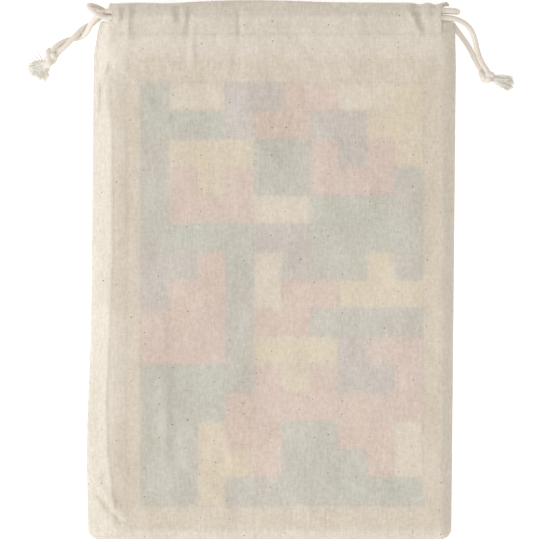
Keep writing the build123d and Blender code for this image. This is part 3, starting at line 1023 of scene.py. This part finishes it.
@dataclass
class Drawcord:
    """A braided cotton cord, the knot that ties its two ends and their frayed tips."""

    name: str
    body: Body
    route: list[Point]              # in metres
    length: float
    knot_at: tuple[float, float]
    knot_length: float
    knot_heading: float             # in degrees, as the two below
    tip_from: tuple[float, float]
    tip_length: float
    tip_heading: float
    spread: float                   # half the fan's opening
    loose: tuple[tuple[float, float, float, float], ...]    # single fibres, end to end
    seed: int
    diameter: float = 3.2
    girth: float = 1.64             # the cord's largest radius, over its strands
    knot_radius: float = 3.5
    plaits: int = 8                 # strands seen round the cord
    plait_pitch: float = 2.3        # one strand to the next along it
    relief: float = 0.02            # a strand's height over the furrows beside it
    knot_strand: float = 1.95       # the cord's radius where the knot swells it
    yarns: int = 16                 # yarns in a tassel
    fibres: int = 26                # fibres in a yarn
    path: np.ndarray = field(init=False)

    def middle_line(self) -> np.ndarray:
        """The cord's smooth middle line, read from its spline, in millimetres."""
        curve = bpy.data.curves.new(self.name + "_line", "CURVE")
        curve.dimensions = "3D"
        curve.resolution_u = 10
        spline = curve.splines.new("NURBS")
        spline.points.add(len(self.route) - 1)
        for point, place in zip(spline.points, self.route):
            point.co = (*place, 1.0)
        spline.order_u = 3
        spline.use_endpoint_u = True
        holder = bpy.data.objects.new(curve.name, curve)
        bpy.context.scene.collection.objects.link(holder)
        bpy.context.view_layer.update()
        seen = holder.evaluated_get(bpy.context.evaluated_depsgraph_get())
        mesh = bpy.data.meshes.new_from_object(seen)
        line = np.array([v.co for v in mesh.vertices], float) / MM
        bpy.data.objects.remove(holder)
        bpy.data.curves.remove(curve)
        bpy.data.meshes.remove(mesh)
        return line

    def plait(self, size: float) -> Callable[[np.ndarray, np.ndarray], np.ndarray]:
        """The radius of a braided cord whose largest radius is size."""

        def radius(length: np.ndarray, angle: np.ndarray) -> np.ndarray:
            """The radius at a length along the cord and an angle round it."""
            bumps = np.cos(self.plaits * angle) + np.cos(length * math.tau / self.plait_pitch)
            return size - 2 * self.relief + self.relief * bumps

        return radius

    def braid(self, path: np.ndarray, size: float, sides: int = 32) -> tuple:
        """A braided cord along a path.

        Args:
            path: its middle line.
            size: its largest radius.
            sides: points round it.

        Returns:
            Its points, its faces and the depth of each point between strands, which the yarn paints as shade.
        """
        radius = self.plait(size)
        points, faces = tube(path, sides, radius)
        angles = np.tile(np.arange(sides) * math.tau / sides, len(path))
        lengths = np.repeat(arc_length(path), sides)
        # depth between strands, painted as shade by the yarn material
        depth = np.clip((size - radius(lengths, angles)) / (4 * self.relief), 0, 1)
        return points, faces, depth

    def cord(self, finish: Material) -> Object:
        """The cord from knot to knot through both casings."""
        self.path = even_path(self.middle_line(), 0.45)
        shell = Shell()
        shell.add(*self.braid(self.path, self.girth))
        piece = shell.make(self.name + "_cord", finish)
        LOG.info("%s: %.1f mm long", piece.name, arc_length(self.path)[-1])
        return settle(piece, self.body, "drawcord_" + self.name)

    def knot(self, finish: Material) -> Object:
        """The overhand knot: a cord that goes round and through itself."""
        reach = self.knot_length / 2 - self.knot_strand + 0.5
        wide = self.knot_radius - self.knot_strand
        t = np.linspace(0, math.tau, 220)
        along = np.sin(t) + 2 * np.sin(2 * t)
        along = reach * along / along.max()
        across = np.cos(t) - 2 * np.cos(2 * t)
        middle, half = (across.max() + across.min()) / 2, (across.max() - across.min()) / 2
        across = (wide + 0.35) * (across - middle) / half
        rise = wide * -np.sin(3 * t)
        heading = math.radians(self.knot_heading)
        path = np.column_stack((
            self.knot_at[0] + along * math.cos(heading) - across * math.sin(heading),
            self.knot_at[1] + along * math.sin(heading) + across * math.cos(heading),
            self.knot_radius + 0.10 + rise,
        ))
        shell = Shell()
        shell.add(*self.braid(path, self.knot_strand, 28))
        piece = shell.make(self.name + "_knot", finish)
        return settle(piece, self.body, "knot_" + self.name)

    def fibre(
        self, chance: np.random.Generator, start: np.ndarray, end: np.ndarray, thick: float
    ) -> tuple[np.ndarray, list]:
        """One loose fibre.

        Args:
            chance: the random source.
            start: where it leaves the knot.
            end: its tip.
            thick: its radius at the start.

        Returns:
            Its points and its faces.
        """
        share = np.linspace(0, 1, 9)[:, None]
        span = end - start
        bow = np.cross(span, (0, 0, 1.0)) * chance.normal(0, 0.16)
        curl = chance.normal(0, 0.22, 3) * np.sin(share * chance.uniform(4, 9) + chance.uniform(0, 6))
        path = start + span * share + bow * share * (1 - share) + curl * share
        path[:, 2] = np.maximum(path[:, 2], thick + 0.04)
        whole = float(arc_length(path)[-1])
        return tube(path, 5, lambda length, _angle: thick * (1.0 - 0.45 * length / whole))

    def tassel(self, finish: Material) -> Object:
        """The frayed tips: yarns that open into fibres."""
        chance = np.random.default_rng(self.seed)
        heading = math.radians(self.tip_heading)
        ahead = np.array((math.cos(heading), math.sin(heading), 0.0))
        aside = np.array((-ahead[1], ahead[0], 0.0))
        up = np.array((0.0, 0.0, 1.0))
        neck = np.array((*self.tip_from, self.knot_radius - 0.2))
        shell = Shell()
        for yarn in range(self.yarns):
            angle = yarn * 2.4 + chance.uniform(-0.3, 0.3)
            ring = math.sqrt((yarn + 0.5) / self.yarns)
            spread = ring * math.cos(angle)
            tall = ring * math.sin(angle)
            root = neck + aside * spread * 1.5 + up * tall * 1.4
            turn = math.radians(self.spread) * spread
            reach = self.tip_length * chance.uniform(0.74, 1.0)
            tip = neck + reach * (ahead * math.cos(turn) + aside * math.sin(turn))
            tip[2] = 2.2 + tall * 1.7
            for _ in range(self.fibres):
                jitter = chance.normal(0, 0.28, 3)
                end = tip + chance.normal(0, 0.95, 3) * (1, 1, 0.6)
                end = end + ahead * chance.normal(0, 0.7)
                end[2] = max(end[2], 0.2)
                points, faces = self.fibre(chance, root + jitter, end, chance.uniform(0.13, 0.24))
                depth = np.full(len(points), chance.uniform(-0.3, 0.35))
                shell.add(points, faces, depth)
        for x0, y0, x1, y1 in self.loose:
            points, faces = self.fibre(
                chance, np.array((x0, y0, 3.0)), np.array((x1, y1, 1.2)), 0.34
            )
            shell.add(points, faces, np.full(len(points), 2.2))
        piece = shell.make(self.name + "_tassel", finish)
        return settle(piece, self.body, "tassel_" + self.name)

    def build(self, braided: Material, frayed: Material) -> None:
        cord, knot, tassel = self.cord(braided), self.knot(braided), self.tassel(frayed)


@dataclass
class DrawcordRoutes:
    """Where the two cords lie. Free points are given in millimetres from the mouth edge at
    the end of the front casing on their side; the rest run straight in the casings."""

    where: SackFrame
    cloth: SackCloth

    def lane(self, side: Side, inset: float, *places: float) -> list[Point]:
        """Points along a cord's lane in a casing, in metres.

        Args:
            side: the panel whose casing it is.
            inset: the mouth edge to the cord's middle.
            places: the x of each point.

        Returns:
            The points.
        """
        face = self.cloth.front_face if side is Side.FRONT else self.cloth.back_face
        height = face + side.value * self.cloth.lane_rise
        flat = np.array([[x, self.cloth.half_length - inset, height] for x in places])
        return [tuple(float(v) for v in point) for point in self.where.place(flat)]

    def beside(self, end: float, points: list[Point]) -> list[Point]:
        """Free points beside one end of the front casing, in metres."""
        top = self.cloth.half_length
        return [((end + x) * MM, (top + y) * MM, z * MM) for x, y, z in points]

    def left(self) -> list[Point]:
        """The cord whose knot lies on the left."""
        a, b, lane = self.cloth.front_left, self.cloth.front_right, self.cloth.near_lane
        front_tail = [
            (-34.0, -28.6, 4.4), (-32.2, -25.8, 4.2), (-29.4, -23.5, 3.2), (-26.0, -21.6, 2.2),
            (-22.3, -20.4, 1.7), (-18.7, -19.9, 1.7), (-15.4, -18.9, 2.9), (-12.8, -16.2, 5.4),
            (-11.0, -12.4, 8.4), (-8.2, -8.6, 10.8), (-4.8, -6.0, 13.7),
        ]
        bight = [(8.8, -5.2, 13.8), (9.1, -5.3, 4.2)]
        back_tail = [
            (-4.4, -6.2, 1.8), (-7.4, -9.2, 1.65), (-10.2, -11.6, 1.65), (-13.2, -13.0, 1.8),
            (-16.4, -14.9, 3.2), (-19.2, -17.9, 5.1), (-22.0, -21.0, 5.4), (-25.3, -24.3, 4.8),
            (-28.3, -27.0, 4.2), (-30.6, -29.4, 3.6), (-32.1, -31.8, 3.2),
        ]
        return [
            *self.beside(a, front_tail),
            *self.lane(Side.FRONT, lane, a - 1.0, a + 6.0, b - 6.0, b + 6.0),
            *self.beside(b, bight),
            *self.lane(Side.BACK, lane, b + 6.0, b - 6.0, a + 8.0, a - 0.4),
            *self.beside(a, back_tail),
        ]

    def right(self) -> list[Point]:
        """The cord whose knot lies on the right."""
        a, b, lane = self.cloth.front_left, self.cloth.front_right, self.cloth.far_lane
        front_tail = [
            (26.7, -40.6, 5.3), (25.1, -37.5, 5.0), (22.7, -34.0, 5.1), (21.0, -30.0, 5.6),
            (19.8, -25.6, 6.5), (18.8, -21.2, 7.8), (17.3, -17.0, 9.6), (14.8, -13.4, 11.8),
            (11.2, -10.9, 14.0), (7.0, -9.4, 15.8),
        ]
        bight = [
            (-4.2, -8.1, 17.7), (-6.3, -7.1, 19.3), (-8.3, -6.0, 20.5), (-10.0, -4.8, 21.2),
            (-11.4, -3.6, 20.9), (-12.1, -2.6, 19.0), (-11.8, -1.9, 16.3), (-10.2, -1.7, 13.4),
            (-7.9, -2.3, 10.9), (-5.6, -3.3, 9.0), (-3.4, -4.7, 7.6), (-1.3, -6.5, 6.3),
        ]
        back_tail = [
            (5.8, -11.4, 1.9), (8.6, -15.4, 1.65), (11.5, -19.2, 1.65), (14.2, -22.9, 1.65),
            (16.5, -26.8, 1.65), (18.3, -30.8, 1.65), (20.3, -34.6, 1.7), (22.4, -38.0, 2.4),
            (23.7, -41.0, 2.9),
        ]
        return [
            *self.beside(b, front_tail),
            *self.lane(Side.FRONT, lane, b + 2.6, b - 4.0, a + 2.0, a - 2.0),
            *self.beside(a, bight),
            *self.lane(Side.BACK, lane, a + 2.6, a + 9.0, b - 4.0, b + 2.4),
            *self.beside(b, back_tail),
        ]


# ---------- puzzle tray


class BlockPaint(Enum):
    """The finish of each block shape, by the shape's name."""

    CORNER = (0.200, 0.105, 0.300)
    BAR = (0.085, 0.130, 0.190)
    SQUARE = (0.030, 0.150, 0.095)
    ELL = (0.035, 0.235, 0.225)
    TEE = (0.930, 0.720, 0.240)
    ZED = (0.760, 0.220, 0.120)
    CUP = (0.800, 0.270, 0.300)


@dataclass
class PuzzleTray:
    """The board, the rails and the wooden blocks, which keep their CAD shapes."""

    def dress(self, node: str, finish: Material) -> None:
        """Give a CAD node its finish."""
        mesh = frame["nodes"][node].data
        mesh.materials.clear()
        mesh.materials.append(finish)

    def build(self) -> None:
        """Dress every node of the tray's body."""
        self.dress("tray_base", BareWood(plies=1.0 * MM).build("tray_plywood"))
        self.dress("tray_frame", BareWood(light=(0.80, 0.64, 0.43)).build("birch_rail"))
        shapes = {paint.name.lower(): paint.value for paint in BlockPaint}
        finishes = {n: PaintedWood(paint).build("paint_" + n) for n, paint in shapes.items()}
        bare = BareWood(light=(0.92, 0.83, 0.66), dark=(0.74, 0.60, 0.42), ring=2.2 * MM)
        finishes["domino"] = bare.build("bare_block")
        nodes = frame["record"]["behaviour"]["bodies"][Body.TRAY.value]
        blocks = [node for node in nodes if node.startswith("block_")]
        for node in blocks:
            self.dress(node, finishes[node.split("_")[1]])
        LOG.info("puzzle tray: %d blocks", len(blocks))


# ---------- studio


@dataclass
class Studio:
    """A pale ground, soft lights and a camera that looks straight down."""

    view_width: float = 306.4 * MM  # what the picture spans at the sack's top
    aim: tuple[float, float] = (-1.40 * MM, 0.25 * MM)
    subject_height: float = 10.0 * MM
    lens: float = 400.0
    sensor: float = 36.0

    def ground(self) -> None:
        """The pale floor."""
        mesh = bpy.data.meshes.new("ground")
        size = 4.0
        corners = [(-size, -size, 0), (size, -size, 0), (size, size, 0), (-size, size, 0)]
        mesh.from_pydata(corners, [], [(0, 1, 2, 3)])
        mesh.materials.append(WhitePaper().build("white_paper"))
        floor = bpy.data.objects.new("ground", mesh)
        floor.location.z = -0.02 * MM
        bpy.context.scene.collection.objects.link(floor)

    def lamp(self, name: str, place: Point, size: float, power: float, tint: Colour) -> None:
        """A square soft light that faces the middle of the sack.

        Args:
            name: its name.
            place: where it hangs, in metres.
            size: its side in metres.
            power: its power in watts.
            tint: its colour.
        """
        light = bpy.data.lights.new(name, "AREA")
        light.size = size
        light.energy = power
        light.color = tint
        lamp = bpy.data.objects.new(name, light)
        lamp.location = place
        lamp.rotation_euler = (-lamp.location).to_track_quat("-Z", "Y").to_euler()
        lamp.visible_camera = False
        bpy.context.scene.collection.objects.link(lamp)

    def camera(self) -> None:
        """The camera, straight above the sack."""
        data = bpy.data.cameras.new("camera")
        data.lens = self.lens
        data.sensor_width = self.sensor
        data.clip_end = 10.0
        distance = self.view_width * self.lens / self.sensor
        camera = bpy.data.objects.new("camera", data)
        camera.location = (*self.aim, self.subject_height + distance)
        bpy.context.scene.collection.objects.link(camera)
        bpy.context.scene.camera = camera

    def build(self) -> None:
        """Set the ground, the lights and the camera."""
        self.ground()
        self.lamp("key", (-2.6, -0.6, 1.6), 1.5, 53.0, (0.95, 0.985, 1.0))
        self.lamp("top", (0.05, -0.55, 1.6), 1.2, 14.0, (1.0, 1.0, 1.0))
        world = bpy.data.worlds.new("studio")
        world.use_nodes = True
        background = world.node_tree.nodes["Background"]
        background.inputs["Color"].default_value = (1.0, 0.94, 0.87, 1.0)
        background.inputs["Strength"].default_value = 0.60
        bpy.context.scene.world = world
        bpy.context.scene.view_settings.view_transform = "Standard"
        self.camera()
        LOG.info("studio")


# ---------- everything together


def main() -> None:
    """Build every sub-assembly in order."""
    logging.basicConfig(level=logging.INFO, format="%(name)s: %(message)s")
    Studio().build()
    where = SackFrame()
    cloth = SackCloth(where)
    routes = DrawcordRoutes(where, cloth)
    braided = CottonYarn().build("braided_cotton")
    frayed = CottonYarn(light=(0.86, 0.815, 0.76), dark=(0.42, 0.37, 0.32)).build("frayed_cotton")
    fibres = (
        (-130.3, 118.4, -135.6, 127.2), (-130.6, 118.0, -136.6, 124.4),
        (-131.0, 117.4, -137.6, 121.4), (-128.0, 114.0, -126.9, 109.0),
    )
    Drawcord(
        name="left", body=Body.LEFT_CORD, route=routes.left(), length=496.0,
        knot_at=(-126.1, 120.7), knot_length=11.0, knot_heading=80, tip_from=(-127.7, 118.1),
        tip_length=12.2, tip_heading=221, spread=44.0, loose=fibres, seed=11,
    ).build(braided, frayed)
    Drawcord(
        name="right", body=Body.RIGHT_CORD, route=routes.right(), length=508.0,
        knot_at=(121.6, 109.9), knot_length=9.2, knot_heading=-16, tip_from=(125.2, 109.0),
        tip_length=11.6, tip_heading=-18, spread=24.0, loose=(), seed=12,
    ).build(braided, frayed)
    cotton = CottonCloth().build("cotton_cloth")
    front = cloth.panel(Side.FRONT, "front_panel_cloth", cotton)
    back = cloth.panel(Side.BACK, "back_panel_cloth", cotton)
    thread = CottonYarn(light=(0.58, 0.55, 0.49), dark=(0.42, 0.38, 0.32), grain=0.2 * MM)
    Stitching(where, cloth).build(thread.build("sewing_thread"))
    PuzzleTray().build()


if __name__ == "__main__":
    main()
